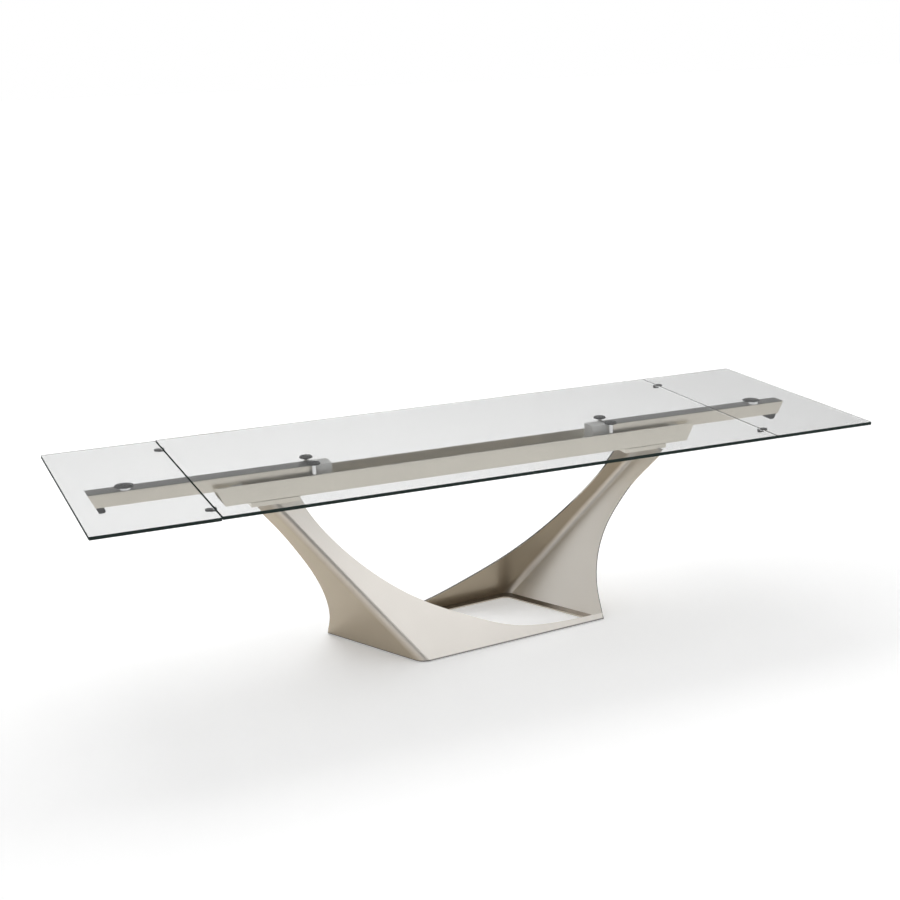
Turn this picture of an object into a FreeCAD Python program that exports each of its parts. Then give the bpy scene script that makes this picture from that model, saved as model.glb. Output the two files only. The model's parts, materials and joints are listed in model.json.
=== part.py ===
import FreeCAD, Part
import os

# Extendable dining table: a clear glass top with a glass leaf at each end, carried by an open
# channel beam on two folded sheet-metal legs. Each leaf rests on an arm that slides in the beam.
# Millimetres, +X along the table, +Z up, origin on the floor under the middle of the top.
# The right half repeats the left half, turned half a turn about Z.

V = FreeCAD.Vector
UP = V(0, 0, 1)
SIDES = {"left": 0, "right": 180}
ENDS = {"front": -1, "rear": 1}

DIMENSIONS = {
    "top_height": 750,
    "top_width": 990,
    "centre_length": 2072,
    "leaf_length": 418,
    "glass_thick": 12,
    "glass_corner": 4,
    "glass_arris": 0.8,
    "joint_gap": 1,
    "left_leaf_drop": 3,
    "right_leaf_drop": 0,
    "beam_underside": 626,
    "beam_width": 120,
    "beam_height": 69,
    "beam_wall": 4,
    "beam_bend": 5,
    "beam_reach": 953,
    "end_slope": 0.5,
    "arm_underside": 676,
    "arm_width": 67,
    "arm_height": 49,
    "arm_wall": 3,
    "arm_edge": 3,
    "arm_inner": 520,
    "arm_outer": 1380,
    "cap_thick": 4,
    "handle_width": 50,
    "handle_depth": 28,
    "handle_drop": 22,
    "block_length": 66,
    "block_width": 64,
    "shoe_length": 59,
    "shoe_width": 100,
    "shoe_height": 36.5,
    "shoe_clearance": 0.5,
    "spigot_length": 30,
    "spigot_fit": 0.2,
    "saddle_outer": 890,
    "saddle_length": 40,
    "saddle_cheek": 16,
    "saddle_fit": 0.4,
    "post_reach": 592,
    "post_spread": 45,
    "post_radius": 10,
    "post_foot": 10.8,
    "post_foot_height": 6,
    "post_disc_radius": 24,
    "post_disc_height": 4.5,
    "post_pad_height": 1,
    "leaf_disc_reach": 1250,
    "leaf_disc_radius": 34,
    "leaf_disc_height": 1.5,
    "leaf_hub_radius": 32,
    "leaf_pad_height": 0.8,
    "leaf_pad_gap": 0.4,
    "clip_radius": 13.5,
    "clip_height": 5,
    "clip_setback": 15,
    "clip_spread": 383,
    "tongue_level": 726.5,
    "tongue_thick": 2.5,
    "tongue_length": 21,
    "tongue_block": 5,
    "tongue_width": 12,
    "sheet_thick": 6,
    "fold_radius": 30,
    "sheet_floor_gap": 3,
    "head_plate_inner": 650,
    "head_plate_length": 178,
    "head_plate_width": 118,
    "head_plate_thick": 16,
    "bolt_radius": 5,
    "bolt_head_radius": 9,
    "bolt_head_height": 5,
    "bolt_depth": 12,
    "bolt_inner": 680,
    "bolt_outer": 800,
    "bolt_spread": 42,
    "bolt_clearance": 0.5,
    "bolt_hole_length": 60,
    "foot_plate_width": 40,
    "foot_plate_thick": 5,
    "glide_radius": 14,
}

# Left leg, on the floor and at the beam: the foot's outer end, the fold, and the head of the fold.
FOOT_END = V(-504, 166, 0)
FOOT_FOLD = V(-277, -247, 0)
FOOT_TIP = V(504, -166, 0)
HEAD_FOLD = V(-767, -17, 625)

# Free edge of each wing, in the wing's own plane: along the floor line from the fold, and up.
FRONT_WING_EDGE = [(845, 25), (793, 26), (591, 32), (386, 63), (225, 130), (57, 219), (-100, 340),
                   (-235, 490), (-305, 600), (-345, 700)]
END_WING_EDGE = [(482, -20), (460, 20), (410, 108), (378, 205), (370, 300), (382, 385), (406, 458),
                 (438, 532), (484, 605), (512, 645), (536, 685), (544, 710)]

doc = FreeCAD.newDocument("extendable_table")
dims = doc.addObject("Spreadsheet::Sheet", "dims")
pieces = []


def fill_sheet():
    for row, (alias, value) in enumerate(DIMENSIONS.items(), start=1):
        dims.set(f"A{row}", alias.replace("_", " "))
        dims.set(f"B{row}", str(value))
        dims.setAlias(f"B{row}", alias)
    doc.recompute()


def size(alias):
    return float(dims.get(alias))


def turn(side):
    return FreeCAD.Placement(V(), FreeCAD.Rotation(V(0, 0, 1), SIDES[side]))


def at(x, y, z):
    return FreeCAD.Placement(V(x, y, z), FreeCAD.Rotation())


def keep(piece, label):
    """Name a finished piece, so that it is written out."""
    piece.Label = label
    pieces.append(piece)
    return piece


# ---- shapes ---------------------------------------------------------------------------------

def box(name, length, width, height, placement):
    """A block whose three sizes are sheet expressions."""
    block = doc.addObject("Part::Box", name)
    block.setExpression("Length", length)
    block.setExpression("Width", width)
    block.setExpression("Height", height)
    block.Placement = placement
    return block


def cylinder(name, radius, height, placement):
    rod = doc.addObject("Part::Cylinder", name)
    rod.setExpression("Radius", radius)
    rod.setExpression("Height", height)
    rod.Placement = placement
    return rod


def join(name, parts):
    union = doc.addObject("Part::MultiFuse", name)
    union.Shapes = parts
    return union


def cut(name, base, tool):
    result = doc.addObject("Part::Cut", name)
    result.Base = base
    result.Tool = tool
    return result


def round_edges(name, base, radius, wanted):
    """Round the edges of base that wanted() picks."""
    doc.recompute()
    rounded = doc.addObject("Part::Fillet", name)
    rounded.Base = base
    chosen = [i for i, edge in enumerate(base.Shape.Edges, start=1) if wanted(edge)]
    rounded.Edges = [(i, radius, radius) for i in chosen]
    return rounded


def runs_along(edge, direction):
    if edge.Curve.TypeId != "Part::GeomLine":
        return False
    return edge.Curve.Direction.cross(direction).Length < 1e-6


def new_sketch(body, role):
    plane = [item for item in body.Origin.OriginFeatures if item.Role == role][0]
    sketch = body.newObject("Sketcher::SketchObject", body.Name + "_sketch")
    sketch.AttachmentSupport = [(plane, "")]
    sketch.MapMode = "FlatFace"
    return sketch


def draw(sketch, start, steps):
    """Draw a closed outline: a step of two numbers is a line to that point, and a step of four is
    an arc through its first point to its second."""
    here = V(*start, 0)
    for step in steps + [start]:
        there = V(*step[-2:], 0)
        if len(step) == 4:
            sketch.addGeometry(Part.Arc(here, V(*step[:2], 0), there))
        elif here.distanceToPoint(there) > 1e-6:
            sketch.addGeometry(Part.LineSegment(here, there))
        here = there


def side_prism(name, outline, width, side):
    """An outline in the XZ plane, padded evenly to both sides of it."""
    body = doc.addObject("PartDesign::Body", name)
    sketch = new_sketch(body, "XZ_Plane")
    draw(sketch, outline[0], outline[1:])
    pad = body.newObject("PartDesign::Pad", name + "_pad")
    pad.Profile = sketch
    pad.SideType = "Symmetric"
    pad.setExpression("Length", width)
    body.Placement = turn(side)
    return body


def turned(name, start, steps, placement):
    """A round piece: an outline of radius and height, revolved about its own upright axis."""
    body = doc.addObject("PartDesign::Body", name)
    sketch = new_sketch(body, "XZ_Plane")
    draw(sketch, start, steps)
    revolution = body.newObject("PartDesign::Revolution", name + "_revolution")
    revolution.Profile = sketch
    revolution.ReferenceAxis = (sketch, ["V_Axis"])
    revolution.Angle = 360
    body.Placement = placement
    return body


# ---- glass ----------------------------------------------------------------------------------

def pane(label, length, placement):
    """A glass pane with small rounded corners and a ground arris all round both faces."""
    slab = box(label + "_slab", length, "dims.top_width", "dims.glass_thick", placement)
    rounded = round_edges(label + "_corners", slab, size("glass_corner"),
                          lambda edge: runs_along(edge, V(0, 0, 1)))
    doc.recompute()
    ground = doc.addObject("Part::Chamfer", label)
    ground.Base = rounded
    arris = size("glass_arris")
    flat = [i for i, edge in enumerate(rounded.Shape.Edges, start=1)
            if abs(edge.Vertexes[0].Z - edge.Vertexes[-1].Z) < 1e-6]
    ground.Edges = [(i, arris, arris) for i in flat]
    return keep(ground, label)


def glass_underside(side):
    return size("top_height") - size("glass_thick") - size(side + "_leaf_drop")


def make_glass():
    half = size("centre_length") / 2
    width = size("top_width") / 2
    level = size("top_height") - size("glass_thick")
    pane("centre_glass_top", "dims.centre_length", at(-half, -width, level))
    for side in SIDES:
        outer = half + size("joint_gap") + size("leaf_length")
        corner = at(-outer, -width, glass_underside(side))
        pane(side + "_leaf_glass", "dims.leaf_length", turn(side).multiply(corner))


# ---- beam -----------------------------------------------------------------------------------

def slanted(reach, low, high):
    """Two ends of a slanted side, top and bottom, for a member whose top reaches furthest."""
    return (-reach, high), (-reach + size("end_slope") * (high - low), low)


def bolt_places():
    return [(-size(reach), end * size("bolt_spread"))
            for reach in ("bolt_inner", "bolt_outer") for end in ENDS.values()]


def bolt_holes(name, side, low):
    return [cylinder(f"{name}_{i}", "dims.bolt_radius + dims.bolt_clearance", "dims.bolt_hole_length",
                     turn(side).multiply(at(x, y, low)))
            for i, (x, y) in enumerate(bolt_places())]


def make_beam():
    low = size("beam_underside")
    high = low + size("beam_height")
    top, bottom = slanted(size("beam_reach"), low, high)
    outline = [top, bottom, (-bottom[0], low), (-top[0], high)]
    solid = side_prism("beam_solid", outline, "dims.beam_width", "left")
    bent = round_edges("beam_bends", solid, size("beam_bend"),
                       lambda edge: runs_along(edge, V(1, 0, 0)) and edge.Vertexes[0].Z < low + 1)
    wall = size("beam_wall")
    reach = size("beam_reach")
    hollow = box("beam_hollow", "2 * dims.beam_reach", "dims.beam_width - 2 * dims.beam_wall",
                 "dims.beam_height", at(-reach, wall - size("beam_width") / 2, low + wall))
    cutters = [hollow]
    for side in SIDES:
        cutters += bolt_holes(f"beam_{side}_hole", side, low - 10)
    keep(cut("main_beam", bent, join("beam_cutters", cutters)), "main_beam")


def make_saddle(side):
    """Nylon guide near the beam's mouth that the arm slides on."""
    floor = size("beam_underside") + size("beam_wall")
    width = size("beam_width") - 2 * size("beam_wall")
    seat = size("arm_underside") - size("saddle_fit")
    outer = -size("saddle_outer")
    block = box(side + "_saddle_block", "dims.saddle_length", "dims.beam_width - 2 * dims.beam_wall",
                "dims.arm_underside - dims.saddle_fit + dims.saddle_cheek"
                " - dims.beam_underside - dims.beam_wall",
                turn(side).multiply(at(outer, -width / 2, floor)))
    gap = size("arm_width") / 2 + size("saddle_fit")
    slot = box(side + "_saddle_slot", "dims.saddle_length + 2", "dims.arm_width + 2 * dims.saddle_fit",
               "2 * dims.saddle_cheek", turn(side).multiply(at(outer - 1, -gap, seat)))
    keep(cut(side + "_arm_saddle", block, slot), side + "_arm_saddle")


def make_post(side, end):
    """Post beside the arm that carries the centre glass: stem, flat disc and clear pad."""
    label = f"{side}_{end}_post"
    under_glass = size("top_height") - size("glass_thick")
    pad_low = under_glass - size("post_pad_height")
    disc_low = pad_low - size("post_disc_height")
    floor = size("beam_underside") + size("beam_wall")
    spread = ENDS[end] * size("post_spread")
    if side == "right":
        spread = -spread
    stem = size("post_radius")
    foot = size("post_foot")
    step = size("post_foot_height")
    length = disc_low - floor
    keep(turned(label, (0, 0), [(foot, 0), (foot, step), (stem, step + 1), (stem, length), (0, length)],
                turn(side).multiply(at(-size("post_reach"), spread, floor))), label)
    disc = size("post_disc_radius")
    rim = size("post_disc_height")
    keep(turned(label + "_disc", (0, 0), [(disc - 3, 0), (disc, rim / 2, disc - 2, rim), (0, rim)],
                turn(side).multiply(at(-size("post_reach"), spread, disc_low))), label + "_disc")
    pad = cylinder(label + "_pad", "dims.post_disc_radius - 2", "dims.post_pad_height",
                   turn(side).multiply(at(-size("post_reach"), spread, pad_low)))
    keep(pad, label + "_pad")


# ---- arms -----------------------------------------------------------------------------------

def make_arm_tube(side):
    low = size("arm_underside")
    high = low + size("arm_height")
    inner = -(size("arm_inner") + size("block_length"))
    top, bottom = slanted(size("arm_outer") - size("cap_thick"), low, high)
    outline = [top, bottom, (inner, low), (inner, high)]
    solid = side_prism(side + "_arm_solid", outline, "dims.arm_width", side)
    rounded = round_edges(side + "_arm_edges", solid, size("arm_edge"),
                          lambda edge: runs_along(edge, V(1, 0, 0)))
    wall = size("arm_wall")
    hollow = box(side + "_arm_hollow", "dims.arm_outer", "dims.arm_width - 2 * dims.arm_wall",
                 "dims.arm_height - 2 * dims.arm_wall",
                 turn(side).multiply(at(top[0] - 10, wall - size("arm_width") / 2, low + wall)))
    keep(cut(side + "_arm_tube", rounded, hollow), side + "_arm_tube")


def make_arm_cap(side):
    low = size("arm_underside")
    high = low + size("arm_height")
    top, bottom = slanted(size("arm_outer"), low, high)
    thick = size("cap_thick")
    outline = [top, bottom, (bottom[0] + thick, low), (top[0] + thick, high)]
    keep(side_prism(side + "_arm_end_cap", outline, "dims.arm_width", side), side + "_arm_end_cap")


def make_handle(side):
    """Finger pull under the arm's outer end, in line with the slanted end."""
    high = size("arm_underside")
    low = high - size("handle_drop")
    outer = size("arm_outer") - size("end_slope") * size("arm_height")
    top, bottom = slanted(outer, low, high)
    depth = size("handle_depth")
    inner = top[0] + depth
    outline = [top, bottom, (inner - 2, low), (inner + 4, low + 3, inner + 5, low + 9), (inner, high)]
    keep(side_prism(side + "_arm_pull_handle", outline, "dims.handle_width", side),
         side + "_arm_pull_handle")


def make_inner_block(side):
    """Nylon end block: closes the tube, and its shoe runs on the beam's floor up to the posts."""
    inner = size("arm_inner")
    floor = size("beam_underside") + size("beam_wall") + size("shoe_clearance")
    shoe_top = floor + size("shoe_height")
    half = size("block_width") / 2
    length = size("block_length")
    head = box(side + "_block_head", "dims.block_length", "dims.block_width",
               "dims.arm_underside + dims.arm_height - dims.beam_underside - dims.beam_wall"
               " - dims.shoe_clearance - dims.shoe_height",
               turn(side).multiply(at(-inner - length, -half, shoe_top)))
    shoe = box(side + "_block_shoe", "dims.shoe_length", "dims.shoe_width", "dims.shoe_height",
               turn(side).multiply(at(-inner - size("shoe_length"), -size("shoe_width") / 2, floor)))
    inset = size("arm_wall") + size("spigot_fit")
    corner = at(-inner - length - size("spigot_length"), inset - size("arm_width") / 2,
                size("arm_underside") + inset)
    spigot = box(side + "_block_spigot", "dims.spigot_length",
                 "dims.arm_width - 2 * dims.arm_wall - 2 * dims.spigot_fit",
                 "dims.arm_height - 2 * dims.arm_wall - 2 * dims.spigot_fit",
                 turn(side).multiply(corner))
    keep(join(side + "_arm_inner_block", [head, shoe, spigot]), side + "_arm_inner_block")


def make_leaf_support(side):
    """Hub, wide disc and clear pad on top of the arm, under the middle of the leaf."""
    pad_high = glass_underside(side) - size("leaf_pad_gap")
    pad_low = pad_high - size("leaf_pad_height")
    disc_low = pad_low - size("leaf_disc_height")
    arm_top = size("arm_underside") + size("arm_height")
    hub = size("leaf_hub_radius")
    rise = disc_low - arm_top
    reach = -size("leaf_disc_reach")
    keep(turned(side + "_leaf_hub", (0, 0), [(hub, 0), (hub, rise), (0, rise)],
                turn(side).multiply(at(reach, 0, arm_top))), side + "_leaf_hub")
    disc = size("leaf_disc_radius")
    rim = size("leaf_disc_height")
    edge = [(disc - 1, 0), (disc, rim / 2, disc - 1, rim), (0, rim)]
    keep(turned(side + "_leaf_disc", (0, 0), edge, turn(side).multiply(at(reach, 0, disc_low))),
         side + "_leaf_disc")
    keep(cylinder(side + "_leaf_pad", "dims.leaf_disc_radius - 3", "dims.leaf_pad_height",
                  turn(side).multiply(at(reach, 0, pad_low))), side + "_leaf_pad")


# ---- leaf clips -----------------------------------------------------------------------------

def make_clip(side, end):
    """Round clip under the leaf, and the tongue under the centre glass that it stands over."""
    spread = ENDS[end] * size("clip_spread")
    if side == "right":
        spread = -spread
    joint = -size("centre_length") / 2
    rim = size("clip_radius")
    deep = size("clip_height")
    middle = joint - size("joint_gap") - size("clip_setback")
    outline = [(2.5, 2), (5, 0), (rim - 1, 0), (rim, 1), (rim, deep), (0, deep)]
    label = f"{side}_{end}_leaf_clip"
    keep(turned(label, (0, 2), outline,
                turn(side).multiply(at(middle, spread, glass_underside(side) - deep))), label)

    label = f"{side}_{end}_clip_tongue"
    inner = joint + 3 + size("tongue_block")
    level = size("tongue_level")
    half = size("tongue_width") / 2
    tongue = box(label + "_plate", "dims.tongue_length", "dims.tongue_width", "dims.tongue_thick",
                 turn(side).multiply(at(inner - size("tongue_length"), spread - half, level)))
    block = box(label + "_block", "dims.tongue_block", "dims.tongue_width",
                "dims.top_height - dims.glass_thick - dims.tongue_level",
                turn(side).multiply(at(joint + 3, spread - half, level)))
    keep(join(label, [tongue, block]), label)


# ---- legs -----------------------------------------------------------------------------------

def plane_frame(start, end, above):
    """Placement of the plane through a floor line and a higher point: X along the line."""
    along = (end - start).normalize()
    normal = along.cross(above - start).normalize()
    return FreeCAD.Placement(start, FreeCAD.Rotation(along, normal.cross(along), normal, "ZXY"))


FRONT_FRAME = plane_frame(FOOT_FOLD, FOOT_TIP, HEAD_FOLD)
END_FRAME = plane_frame(FOOT_FOLD, FOOT_END, HEAD_FOLD)


def fold_at(frame, height):
    """Point of the fold line at a height up the wing's own plane."""
    head = frame.inverse().multVec(HEAD_FOLD)
    return (head.x * height / head.y, height)


def wing(name, frame, free_edge, inward_down, side):
    """One flat wing: straight along the fold and the floor, with a curved free edge."""
    body = doc.addObject("PartDesign::Body", name)
    sketch = new_sketch(body, "XY_Plane")
    low = -20
    high = free_edge[-1][1]
    corners = [fold_at(frame, high), fold_at(frame, low), (free_edge[0][0], low), free_edge[0]]
    curve = Part.BSplineCurve()
    curve.interpolate([V(x, y, 0) for x, y in free_edge])
    sketch.addGeometry(curve)
    path = [V(*point, 0) for point in [free_edge[-1]] + corners]
    for here, there in zip(path, path[1:]):
        if here.distanceToPoint(there) > 1e-6:
            sketch.addGeometry(Part.LineSegment(here, there))
    pad = body.newObject("PartDesign::Pad", name + "_pad")
    pad.Profile = sketch
    pad.Reversed = inward_down
    pad.setExpression("Length", "dims.sheet_thick")
    body.Placement = turn(side).multiply(frame)
    return body


def height_band(name):
    """Everything between the bottom of the sheet and the underside of the head plate."""
    return box(name, "2400", "1200",
               "dims.beam_underside - dims.head_plate_thick - dims.sheet_floor_gap",
               at(-1200, -600, size("sheet_floor_gap")))


def tip_trim(side):
    """The space outside the other leg's end wing, where this leg's front wing stops."""
    other = "right" if side == "left" else "left"
    end_length = (FOOT_END - FOOT_FOLD).Length
    frame = turn(other).multiply(END_FRAME)
    depth = 60
    corner = frame.multiply(at(end_length - 150, -60, -depth))
    return box(side + "_tip_trim", "300", "200", f"{depth} + dims.sheet_thick", corner)


def make_leg_sheet(side):
    front = wing(side + "_front_wing", FRONT_FRAME, FRONT_WING_EDGE, True, side)
    end = wing(side + "_end_wing", END_FRAME, END_WING_EDGE, False, side)
    whole = join(side + "_wings", [front, end])
    banded = doc.addObject("Part::Common", side + "_banded")
    banded.Base = whole
    banded.Tool = height_band(side + "_band")
    trimmed = cut(side + "_trimmed", banded, tip_trim(side))
    fold = turn(side).Rotation.multVec(HEAD_FOLD - FOOT_FOLD).normalize()
    start = turn(side).multVec(FOOT_FOLD)
    doc.recompute()

    def fold_distance(edge):
        return (edge.Vertexes[0].Point - start).cross(fold).Length

    long_edges = [edge for edge in trimmed.Shape.Edges
                  if runs_along(edge, fold) and edge.Length > 300]
    inner_distance = max(fold_distance(edge) for edge in long_edges)
    rounded = doc.addObject("Part::Fillet", side + "_leg_sheet")
    rounded.Base = trimmed
    chosen = []
    for i, edge in enumerate(trimmed.Shape.Edges, start=1):
        if runs_along(edge, fold) and edge.Length > 300:
            inside = fold_distance(edge) > inner_distance / 2
            radius = size("fold_radius") - (size("sheet_thick") if inside else 0)
            chosen.append((i, radius, radius))
    rounded.Edges = chosen
    return keep(rounded, side + "_leg_sheet")


def foot_line(frame, inward_side, start, end, depth):
    """Start and direction of a line along the floor, depth in from the middle of a wing's sheet,
    at the level of the foot plate."""
    along = (end - start).normalize()
    inward = UP.cross(along)
    face = inward_side * frame.Rotation.multVec(UP)
    level = size("sheet_floor_gap") + size("foot_plate_thick") / 2
    lean = -level * face.z / V(face.x, face.y, 0).Length
    return start + inward * (lean + size("sheet_thick") / 2 + depth), along


def crossing(first, second):
    """Point where two floor lines cross, each given as a start and a direction."""
    (a, along), (b, across) = first, second
    return a + along * ((b - a).cross(across).z / along.cross(across).z)


def make_foot_plate(side, sheet):
    """Flat angled plate along both wings at the floor, inside the footprint, welded to the sheet."""
    outline = []
    length = (FOOT_TIP - FOOT_FOLD).Length
    bevel = size("fold_radius") / 2
    for depth in (0, size("foot_plate_width")):
        outer, back = foot_line(END_FRAME, 1, FOOT_END, FOOT_FOLD, depth)
        inner, along = foot_line(FRONT_FRAME, -1, FOOT_FOLD, FOOT_TIP, depth)
        corner = crossing((outer, back), (inner, along))
        path = [outer + back * 55, corner - back * bevel, corner + along * bevel,
                inner + along * (length - 95)]
        outline += path if depth == 0 else reversed(path)
    label = side + "_foot_plate"
    body = doc.addObject("PartDesign::Body", label + "_blank")
    sketch = new_sketch(body, "XY_Plane")
    draw(sketch, (outline[0].x, outline[0].y), [(point.x, point.y) for point in outline[1:]])
    pad = body.newObject("PartDesign::Pad", label + "_pad")
    pad.Profile = sketch
    pad.setExpression("Length", "dims.foot_plate_thick")
    body.Placement = turn(side).multiply(at(0, 0, size("sheet_floor_gap")))
    keep(cut(label, body, sheet), label)


def make_head_plate(side):
    low = size("beam_underside") - size("head_plate_thick")
    outer = -(size("head_plate_inner") + size("head_plate_length"))
    plate = box(side + "_plate_blank", "dims.head_plate_length", "dims.head_plate_width",
                "dims.head_plate_thick",
                turn(side).multiply(at(outer, -size("head_plate_width") / 2, low)))
    depth = size("beam_underside") - size("bolt_depth") - 1
    holes = join(side + "_plate_holes", bolt_holes(side + "_plate_hole", side, depth))
    keep(cut(side + "_head_plate", plate, holes), side + "_head_plate")


def make_head_bolts(side):
    """Four button-head bolts, from the beam's floor into the head plate."""
    floor = size("beam_underside") + size("beam_wall")
    head = size("bolt_head_radius")
    rise = size("bolt_head_height")
    shank = size("bolt_radius")
    length = size("beam_wall") + size("bolt_depth")
    crown = (head * 0.8, rise * 0.75, head * 0.45, rise)
    steps = [(shank, -length), (shank, 0), (head, 0), crown, (0, rise)]
    bolts = [turned(f"{side}_bolt_{i}", (0, -length), steps, turn(side).multiply(at(x, y, floor)))
             for i, (x, y) in enumerate(bolt_places())]
    group = doc.addObject("Part::Compound", side + "_head_bolts")
    group.Links = bolts
    keep(group, side + "_head_bolts")


def make_glides(side):
    """Three plastic glides under the foot plate, which the leg stands on."""
    front = (FOOT_TIP - FOOT_FOLD).normalize()
    back = (FOOT_FOLD - FOOT_END).normalize()
    places = [FOOT_FOLD + front * 80 + UP.cross(front) * 24,
              FOOT_TIP - front * 130 + UP.cross(front) * 24,
              FOOT_END + back * 90 + UP.cross(back) * 20]
    glides = [cylinder(f"{side}_glide_{i}", "dims.glide_radius", "dims.sheet_floor_gap",
                       turn(side).multiply(at(*place)))
              for i, place in enumerate(places)]
    group = doc.addObject("Part::Compound", side + "_floor_glides")
    group.Links = glides
    keep(group, side + "_floor_glides")


# ---- the whole table ------------------------------------------------------------------------

def make_table():
    fill_sheet()
    make_glass()
    make_beam()
    for side in SIDES:
        make_saddle(side)
        make_arm_tube(side)
        make_arm_cap(side)
        make_handle(side)
        make_inner_block(side)
        make_leaf_support(side)
        for end in ENDS:
            make_post(side, end)
            make_clip(side, end)
        sheet = make_leg_sheet(side)
        make_foot_plate(side, sheet)
        make_head_plate(side)
        make_head_bolts(side)
        make_glides(side)
    doc.recompute()


def write_pieces():
    for item in doc.Objects:
        bad = {"Invalid", "Error"} & set(item.State)
        if bad:
            raise RuntimeError(f"{item.Name} did not rebuild: {bad}")
    for piece in pieces:
        if piece.Shape.isNull() or not piece.Shape.isValid():
            raise RuntimeError(f"{piece.Label} has no valid shape")
    os.makedirs("parts", exist_ok=True)
    for piece in pieces:
        piece.Shape.exportStep(f"parts/{piece.Label}.step")
    print(f"{len(pieces)} pieces written")


make_table()
write_pieces()
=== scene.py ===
import json
import math

import bmesh
import bpy
from mathutils import Matrix, Vector


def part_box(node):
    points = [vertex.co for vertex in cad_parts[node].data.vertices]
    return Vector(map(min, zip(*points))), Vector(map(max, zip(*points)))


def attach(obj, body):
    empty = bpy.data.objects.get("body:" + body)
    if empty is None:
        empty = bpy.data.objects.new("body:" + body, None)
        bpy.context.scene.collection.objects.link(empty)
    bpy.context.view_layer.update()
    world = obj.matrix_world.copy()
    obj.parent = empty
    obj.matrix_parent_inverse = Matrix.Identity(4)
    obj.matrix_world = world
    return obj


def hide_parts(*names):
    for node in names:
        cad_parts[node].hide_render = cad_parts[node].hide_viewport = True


# The looks of the extendable glass table. Metres, in the same frame as the model.

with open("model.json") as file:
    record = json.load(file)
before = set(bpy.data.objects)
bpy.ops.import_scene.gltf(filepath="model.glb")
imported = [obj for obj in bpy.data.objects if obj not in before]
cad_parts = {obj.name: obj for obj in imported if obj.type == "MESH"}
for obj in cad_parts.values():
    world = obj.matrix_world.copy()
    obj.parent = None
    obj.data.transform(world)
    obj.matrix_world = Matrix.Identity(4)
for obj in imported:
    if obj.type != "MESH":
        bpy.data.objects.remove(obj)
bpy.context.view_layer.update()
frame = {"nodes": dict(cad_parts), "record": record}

SIDES = ("left", "right")
ENDS = ("front", "rear")

CAMERA_PLACE = Vector((-2.0995, -4.9632, 2.2738))
CAMERA_YAW = math.radians(22.408)     # clockwise from +Y, seen from above
CAMERA_DIP = math.radians(16.243)
CAMERA_ROLL = math.radians(-1.256)
CAMERA_LENS = 60.752
CAMERA_SENSOR = 36.0

# The left leg's fold, from the floor up to its head. The right leg is the left one turned half a turn.
FOLD_FOOT = Vector((-0.277, -0.247, 0))
FOLD_HEAD = Vector((-0.767, -0.017, 0.625))
FOLD_DIRECTION = (FOLD_HEAD - FOLD_FOOT).normalized()

GLASS_CORNER = 0.004
GLASS_ARRIS = 0.0009
CORNER_STEPS = 6
PAD_CLEARANCE = 0.0002     # between a pane and the pads under it

# Lacquer, with painted light and shade by the way the surface faces, and painted shade on cut edges.
SHEET_UNDER_SHADE = (0.43, 0.36, 0.26)
SHEET_UPRIGHT = (0.60, 0.54, 0.46)
SHEET_UPPER_LIT = (0.76, 0.725, 0.675)
SHEET_CUT_EDGE_SHADE = (0.12, 0.12, 0.11)
# Square members: a lit colour on their upright faces and a darker painted shade on their upper faces.
BEAM_SIDE, BEAM_TOP_SHADE = (0.89, 0.84, 0.735), (0.50, 0.47, 0.42)
ARM_SIDE, ARM_TOP_SHADE = (0.88, 0.825, 0.72), (0.17, 0.17, 0.155)
FOOT_SIDE, FOOT_TOP_SHADE = (0.62, 0.57, 0.49), (0.20, 0.16, 0.12)

# A pane's edges, as they look from outside and from within the pane.
EDGE_CLEARNESS = 0.1
EDGE_DEEP, EDGE_PALE = (0.020, 0.032, 0.029), (0.034, 0.048, 0.044)
EDGE_CLEAR_WITHIN = (0.80, 0.82, 0.81)
EDGE_DARK_WITHIN = (0.03, 0.042, 0.039)

# The sweep runs from its dim front to its bright back, at these values of Y. A stop is how far along it
# is, from 0 to 1, and the shade there.
FLOOR_REACH = 40
SWEEP_FRONT, SWEEP_BACK = -9.0, 6.6
SWEEP_SHADES = ((0.0, 0.45), (0.32, 0.68), (0.42, 0.82))
SWEEP_GLOW = ((0.0, 0.12), (0.32, 0.20), (0.44, 0.47), (0.53, 0.29), (0.63, 0.29), (0.78, 0.56),
              (0.90, 0.85))

# The studio's walls, as the strength of the light from a direction with this Z.
WALL_STEPS = ((0.03, 1.0), (0.16, 0.20), (0.42, 0.20), (0.60, 0.72))
# They dim towards the front, between these values of the direction's Y.
DIM_FRONT, FULL_FROM, DIM_STRENGTH = -0.95, -0.50, 0.25

# Name, place, target, width, height, watts.
LIGHTS = (
    ("overhead", (0.2, 2.0, 3.5), (0, 0, 0), 5.0, 2.6, 88),
    ("front_right", (1.9, -3.3, 1.9), (0, -0.2, 0.3), 3.0, 1.8, 23),
    ("left", (-3.5, 0.7, 1.9), (0.5, 0, 0.3), 2.4, 1.8, 10),
)


# ---- materials ------------------------------------------------------------------------------

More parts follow.
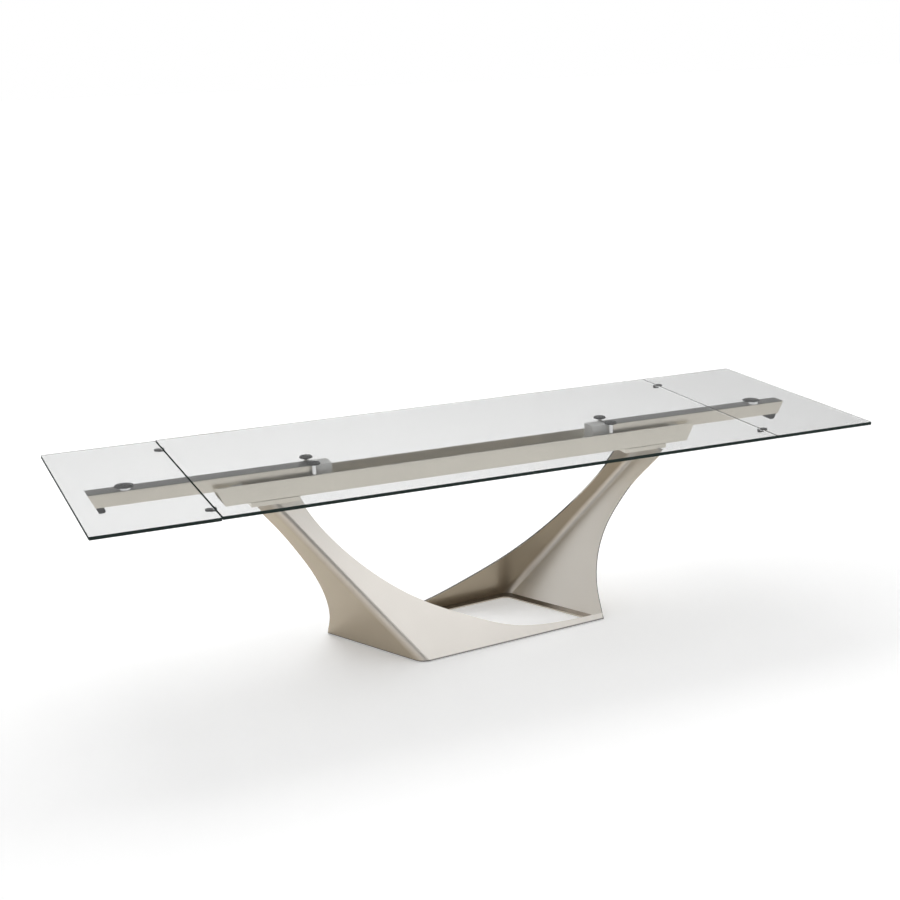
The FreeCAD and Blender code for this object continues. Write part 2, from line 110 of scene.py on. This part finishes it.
class Shader:
    """A node material with one Principled shader, and short ways to add to it."""

    def __init__(self, name, **sockets):
        self.material = bpy.data.materials.new(name)
        self.material.use_nodes = True
        self.tree = self.material.node_tree
        self.main = self.tree.nodes["Principled BSDF"]
        for socket, value in sockets.items():
            self.main.inputs[socket.replace("_", " ")].default_value = value
        self.place = self.add("ShaderNodeTexCoord").outputs["Object"]

    def add(self, kind, **settings):
        node = self.tree.nodes.new(kind)
        for key, value in settings.items():
            setattr(node, key, value)
        return node

    def link(self, source, target):
        self.tree.links.new(source, target)

    def noise(self, scale, detail=2.0, stretch=(1, 1, 1)):
        mapping = self.add("ShaderNodeMapping")
        mapping.inputs["Scale"].default_value = stretch
        self.link(self.place, mapping.inputs["Vector"])
        noise = self.add("ShaderNodeTexNoise")
        noise.inputs["Scale"].default_value = scale
        noise.inputs["Detail"].default_value = detail
        self.link(mapping.outputs["Vector"], noise.inputs["Vector"])
        return noise.outputs["Fac"]

    def ramp(self, factor, *stops):
        """Colours or greys at given values of factor, blended in between: stops are (value, shade)."""
        ramp = self.add("ShaderNodeValToRGB")
        elements = ramp.color_ramp.elements
        while len(elements) < len(stops):
            elements.new(0.5)
        for element, (place, shade) in zip(elements, stops):
            element.position = place
            element.color = (shade,) * 3 + (1,) if isinstance(shade, float) else (*shade, 1)
        self.link(factor, ramp.inputs["Fac"])
        return ramp.outputs["Color"]

    def part(self, vector, axis, low, high):
        """One axis of a vector, as 0 at low and 1 at high."""
        split = self.add("ShaderNodeSeparateXYZ")
        self.link(vector, split.inputs["Vector"])
        step = self.add("ShaderNodeMapRange")
        step.inputs["From Min"].default_value = low
        step.inputs["From Max"].default_value = high
        self.link(split.outputs[axis], step.inputs["Value"])
        return step.outputs["Result"]

    def multiply(self, first, second):
        mix = self.add("ShaderNodeMix", data_type="RGBA", blend_type="MULTIPLY")
        mix.inputs["Factor"].default_value = 1.0
        self.link(first, mix.inputs["A"])
        self.link(second, mix.inputs["B"])
        return mix.outputs["Result"]

    def blend(self, factor, source, colour):
        mix = self.add("ShaderNodeMix", data_type="RGBA")
        self.link(factor, mix.inputs["Factor"])
        self.link(source, mix.inputs["A"])
        mix.inputs["B"].default_value = (*colour, 1)
        return mix.outputs["Result"]

    def along(self, vector, direction):
        """How far a vector points along a direction, whichever way round."""
        dot = self.add("ShaderNodeVectorMath", operation="DOT_PRODUCT")
        self.link(vector, dot.inputs[0])
        dot.inputs[1].default_value = direction
        size = self.add("ShaderNodeMath", operation="ABSOLUTE")
        self.link(dot.outputs["Value"], size.inputs[0])
        return size.outputs["Value"]

    def soft_edges(self, radius, height=None, strength=0.1, distance=0.001):
        """Rounds the edges in shading, under an optional bump."""
        bevel = self.add("ShaderNodeBevel", samples=4)
        bevel.inputs["Radius"].default_value = radius
        normal = bevel.outputs["Normal"]
        if height is not None:
            bump = self.add("ShaderNodeBump")
            bump.inputs["Strength"].default_value = strength
            bump.inputs["Distance"].default_value = distance
            self.link(height, bump.inputs["Height"])
            self.link(normal, bump.inputs["Normal"])
            normal = bump.outputs["Normal"]
        self.link(normal, self.main.inputs["Normal"])

    def feed(self, socket, output):
        self.link(output, self.main.inputs[socket])


def champagne_paint(name, shaded_tone):
    """Satin metallic lacquer, with a fine flake and a slow drift in its gloss."""
    paint = Shader(name, Metallic=0.72, Coat_Weight=0.35, Coat_Roughness=0.12)
    flake = paint.ramp(paint.noise(900.0, 1.0), (0.3, 0.985), (0.7, 1.0))
    # The tone given holds painted light and shade.
    paint.feed("Base Color", paint.multiply(shaded_tone(paint), flake))
    paint.feed("Roughness", paint.ramp(paint.noise(6.0, 2.0), (0.0, 0.285), (1.0, 0.36)))
    return paint.material


def leg_paint(side):
    """Painted light and shade: pale where the sheet faces up, browner where it faces down, painted shade
    on cut edges and a painted shadow at the floor.
    """
    turn = 1 if side == "left" else -1
    fold = Vector((turn * FOLD_DIRECTION.x, turn * FOLD_DIRECTION.y, FOLD_DIRECTION.z))

    def shaded_tone(paint):
        normal = paint.add("ShaderNodeNewGeometry").outputs["Normal"]
        # Painted light and shade by the way the face lies: paler facing up, browner and darker facing
        # down.
        facing_light_and_shade = paint.ramp(paint.part(normal, "Z", -0.5, 0.5), (0.05, SHEET_UNDER_SHADE), (0.45, SHEET_UPRIGHT),
                         (0.9, SHEET_UPPER_LIT))
        # Painted shade on the sheet's cut edges.
        edge = paint.ramp(paint.along(normal, fold), (0.05, 1.0), (0.12, SHEET_CUT_EDGE_SHADE))
        # Painted shadow along the bottom few millimetres of the sheet, where it meets the floor.
        floor_shadow = paint.ramp(paint.part(paint.place, "Z", 0.0, 0.02), (0.24, 0.15), (0.38, 1.0))
        return paint.multiply(paint.multiply(facing_light_and_shade, edge), floor_shadow)

    return champagne_paint(f"{side}_leg_paint", shaded_tone)


def square_shade_tone(side, top):
    """Painted light and shade for square members: one colour on upright and lower faces, another,
    darker, as painted shade on upper ones.
    """
    def shaded_tone(paint):
        normal = paint.add("ShaderNodeNewGeometry").outputs["Normal"]
        return paint.ramp(paint.part(normal, "Z", 0.0, 1.0), (0.3, side), (0.9, top))
    return shaded_tone


def polished_steel():
    """Bright steel with faint wiping marks."""
    steel = Shader("polished_steel", Metallic=1.0)
    wipe = steel.noise(60.0, 3.0, (1, 1, 8))
    steel.feed("Base Color", steel.ramp(wipe, (0.3, 0.864), (0.7, 0.96)))
    steel.feed("Roughness", steel.ramp(wipe, (0.3, 0.14), (0.7, 0.26)))
    steel.soft_edges(0.0006)
    return steel.material


def smoked_steel():
    """Black-chromed discs and clips, softly blotched."""
    smoked = Shader("smoked_steel", Metallic=0.4, Roughness=0.35, Specular_IOR_Level=0.2)
    smoked.feed("Base Color", smoked.ramp(smoked.noise(80.0, 2.0), (0.3, 0.012), (0.7, 0.024)))
    smoked.soft_edges(0.0006)
    return smoked.material


def grey_nylon():
    """Pale moulded nylon with a fine grain."""
    nylon = Shader("grey_nylon", Roughness=0.5)
    nylon.feed("Base Color", nylon.ramp(nylon.noise(300.0, 3.0), (0.3, (0.90, 0.90, 0.88)),
                                        (0.7, (0.94, 0.94, 0.92))))
    nylon.soft_edges(0.001, nylon.noise(800.0, 2.0), 0.15, 0.0003)
    return nylon.material


def dark_handle():
    """Dark satin paint with a fine texture."""
    dark = Shader("dark_handle", Metallic=0.3, Roughness=0.45)
    dark.feed("Base Color", dark.ramp(dark.noise(1200.0, 1.0), (0.3, (0.020, 0.021, 0.023)),
                                      (0.7, (0.038, 0.039, 0.042))))
    dark.soft_edges(0.0015, dark.noise(700.0, 2.0), 0.2, 0.0003)
    return dark.material


def clear_pad():
    """Clear soft vinyl, slightly hazy."""
    pad = Shader("clear_pad", Base_Color=(0.62, 0.63, 0.63, 1), IOR=1.45, Transmission_Weight=0.9)
    pad.feed("Roughness", pad.ramp(pad.noise(200.0, 2.0), (0.3, 0.1), (0.7, 0.2)))
    return pad.material


def black_glide():
    """Matt black plastic."""
    glide = Shader("black_glide", Roughness=0.6)
    glide.feed("Base Color", glide.ramp(glide.noise(500.0, 2.0), (0.3, 0.02), (0.7, 0.045)))
    glide.soft_edges(0.0008, glide.noise(900.0, 2.0), 0.2, 0.0003)
    return glide.material


def glass_face():
    """Clear float glass, even all over."""
    return Shader("glass_face", Base_Color=(0.905, 0.910, 0.907, 1), Roughness=0.0, IOR=1.52,
                  Transmission_Weight=1.0).material


def glass_edge(name, shade_within, clear_within):
    """Dark green from outside, with its own shade and clearness where seen from within the pane."""
    edge = Shader(name, IOR=1.35, Specular_IOR_Level=0.0, Transmission_Weight=EDGE_CLEARNESS)
    within = edge.add("ShaderNodeNewGeometry").outputs["Backfacing"]
    if clear_within != EDGE_CLEARNESS:
        edge.feed("Transmission Weight", edge.ramp(within, (0.0, EDGE_CLEARNESS), (1.0, clear_within)))
    streak = edge.noise(40.0, 2.0, (1, 1, 6))
    dark = edge.ramp(streak, (0.3, EDGE_DEEP), (0.7, EDGE_PALE))
    edge.feed("Base Color", edge.blend(within, dark, shade_within))
    edge.feed("Roughness", edge.ramp(edge.noise(300.0, 2.0), (0.3, 0.1), (0.7, 0.22)))
    return edge.material


def pale_floor():
    """White sweep: evenly lit round the table and behind it, and dimmer at the front of the studio."""
    floor = Shader("pale_floor", Roughness=0.8)
    floor.main.inputs["Emission Color"].default_value = (1, 1, 1, 1)
    depth = floor.part(floor.place, "Y", SWEEP_FRONT, SWEEP_BACK)
    floor.feed("Base Color", floor.ramp(depth, *SWEEP_SHADES))
    floor.feed("Emission Strength", floor.ramp(depth, *SWEEP_GLOW))
    return floor.material


# ---- mesh helpers ---------------------------------------------------------------------------

def mesh_object(name, bm, materials):
    mesh = bpy.data.meshes.new(name)
    bm.normal_update()
    bm.to_mesh(mesh)
    bm.free()
    for material in materials:
        mesh.materials.append(material)
    piece = bpy.data.objects.new(name, mesh)
    bpy.context.scene.collection.objects.link(piece)
    return piece


def rounded_rectangle(low, high, inset, radius):
    """Corner points of a rounded rectangle in XY, inset evenly from low and high."""
    x0, y0 = low.x + inset, low.y + inset
    x1, y1 = high.x - inset, high.y - inset
    bend = radius - inset
    left, right, front, rear = x0 + bend, x1 - bend, y0 + bend, y1 - bend
    centres = ((right, rear), (left, rear), (left, front), (right, front))
    points = []
    for quarter, (cx, cy) in enumerate(centres):
        for step in range(CORNER_STEPS + 1):
            angle = (quarter + step / CORNER_STEPS) * math.pi / 2
            points.append((cx + bend * math.cos(angle), cy + bend * math.sin(angle)))
    return points


def glass_pane(node, body, face, edge, right_edge):
    """A pane with a ground arris: clear faces and polished edges, the +X edge in its own finish."""
    low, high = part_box(node)
    low = Vector(low) + Vector((0, 0, PAD_CLEARANCE))
    high = Vector(high)
    bm = bmesh.new()
    rings = []
    for inset, level in ((GLASS_ARRIS, low.z), (0, low.z + GLASS_ARRIS), (0, high.z - GLASS_ARRIS),
                         (GLASS_ARRIS, high.z)):
        outline = rounded_rectangle(low, high, inset, GLASS_CORNER)
        rings.append([bm.verts.new((x, y, level)) for x, y in outline])
    bm.faces.new(reversed(rings[0]))
    bm.faces.new(rings[-1])
    for below, above in zip(rings, rings[1:]):
        for i in range(len(below)):
            j = (i + 1) % len(below)
            side = bm.faces.new((below[i], below[j], above[j], above[i]))
            at_right = min(below[i].co.x, below[j].co.x) > high.x - GLASS_CORNER
            side.material_index = 2 if at_right else 1
    pane = mesh_object(node + "_visible", bm, (face, edge, right_edge))
    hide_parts(node)
    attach(pane, body)


# ---- the table ------------------------------------------------------------------------------

def dress(node, material):
    slots = frame["nodes"][node].data.materials
    for i in range(len(slots)):
        slots[i] = material
    if not slots:
        slots.append(material)


def dress_nodes():
    finishes = {
        "champagne_paint": champagne_paint("beam_paint", square_shade_tone(BEAM_SIDE, BEAM_TOP_SHADE)),
        "polished_steel": polished_steel(),
        "grey_nylon": grey_nylon(),
        "dark_handle": dark_handle(),
        "clear_pad": clear_pad(),
        "black_glide": black_glide(),
    }
    for part in frame["record"]["subparts"]:
        if part["material_slot"] in finishes:
            dress(part["node"], finishes[part["material_slot"]])
    foot = champagne_paint("foot_plate_paint", square_shade_tone(FOOT_SIDE, FOOT_TOP_SHADE))
    smoked = smoked_steel()
    arm = champagne_paint("arm_paint", square_shade_tone(ARM_SIDE, ARM_TOP_SHADE))
    for side in SIDES:
        dress(f"{side}_leg_sheet", leg_paint(side))
        dress(f"{side}_foot_plate", foot)
        dress(f"{side}_arm_tube", arm)
        dress(f"{side}_arm_end_cap", arm)
        dress(f"{side}_leaf_disc", smoked)
        for end in ENDS:
            dress(f"{side}_{end}_post_disc", smoked)
            dress(f"{side}_{end}_leaf_clip", smoked)
            dress(f"{side}_{end}_clip_tongue", smoked)


def make_glass():
    face = glass_face()
    edge = glass_edge("glass_edge", EDGE_CLEAR_WITHIN, 1.0)
    joint = glass_edge("glass_joint_edge", EDGE_DARK_WITHIN, EDGE_CLEARNESS)
    glass_pane("centre_glass_top", "frame", face, edge, edge)
    glass_pane("left_leaf_glass", "left_leaf", face, edge, joint)
    glass_pane("right_leaf_glass", "right_leaf", face, edge, edge)


# ---- stage ----------------------------------------------------------------------------------

def make_floor():
    bm = bmesh.new()
    bmesh.ops.create_grid(bm, x_segments=1, y_segments=1, size=FLOOR_REACH)
    floor = mesh_object("floor", bm, (pale_floor(),))


def area_light(name, place, target, width, height, power):
    data = bpy.data.lights.new(name, "AREA")
    data.shape = "RECTANGLE"
    data.size = width
    data.size_y = height
    data.energy = power
    light = bpy.data.objects.new(name, data)
    light.location = place
    light.rotation_euler = (Vector(target) - Vector(place)).to_track_quat("-Z", "Y").to_euler()
    bpy.context.scene.collection.objects.link(light)


def make_world():
    """Pale walls with a dim band above the horizon, and dimmer at the front."""
    world = bpy.data.worlds.new("studio")
    world.use_nodes = True
    nodes, links = world.node_tree.nodes, world.node_tree.links
    direction = nodes.new("ShaderNodeSeparateXYZ")
    links.new(nodes.new("ShaderNodeTexCoord").outputs["Generated"], direction.inputs["Vector"])
    upward = nodes.new("ShaderNodeValToRGB")
    steps = upward.color_ramp.elements
    while len(steps) < len(WALL_STEPS):
        steps.new(0.5)
    for step, (level, strength) in zip(steps, WALL_STEPS):
        step.position = level
        step.color = (strength, strength, strength, 1)
    links.new(direction.outputs["Z"], upward.inputs["Fac"])
    forward = nodes.new("ShaderNodeMapRange")
    forward.inputs["From Min"].default_value = DIM_FRONT
    forward.inputs["From Max"].default_value = FULL_FROM
    forward.inputs["To Min"].default_value = DIM_STRENGTH
    links.new(direction.outputs["Y"], forward.inputs["Value"])
    product = nodes.new("ShaderNodeMath")
    product.operation = "MULTIPLY"
    links.new(upward.outputs["Color"], product.inputs[0])
    links.new(forward.outputs["Result"], product.inputs[1])
    links.new(product.outputs["Value"], nodes["Background"].inputs["Strength"])
    nodes["Background"].inputs["Color"].default_value = (1, 1, 1, 1)
    bpy.context.scene.world = world


def make_lights():
    make_world()
    for light in LIGHTS:
        area_light(*light)


def make_camera():
    data = bpy.data.cameras.new("camera")
    data.lens = CAMERA_LENS
    data.sensor_width = CAMERA_SENSOR
    camera = bpy.data.objects.new("camera", data)
    turn = Matrix.Rotation(-CAMERA_YAW, 4, "Z")
    tilt = Matrix.Rotation(math.pi / 2 - CAMERA_DIP, 4, "X")
    roll = Matrix.Rotation(CAMERA_ROLL, 4, "Z")
    camera.matrix_world = Matrix.Translation(CAMERA_PLACE) @ turn @ tilt @ roll
    bpy.context.scene.collection.objects.link(camera)
    bpy.context.scene.camera = camera
    bpy.context.scene.view_settings.view_transform = "Standard"


dress_nodes()
make_glass()
make_floor()
make_lights()
make_camera()
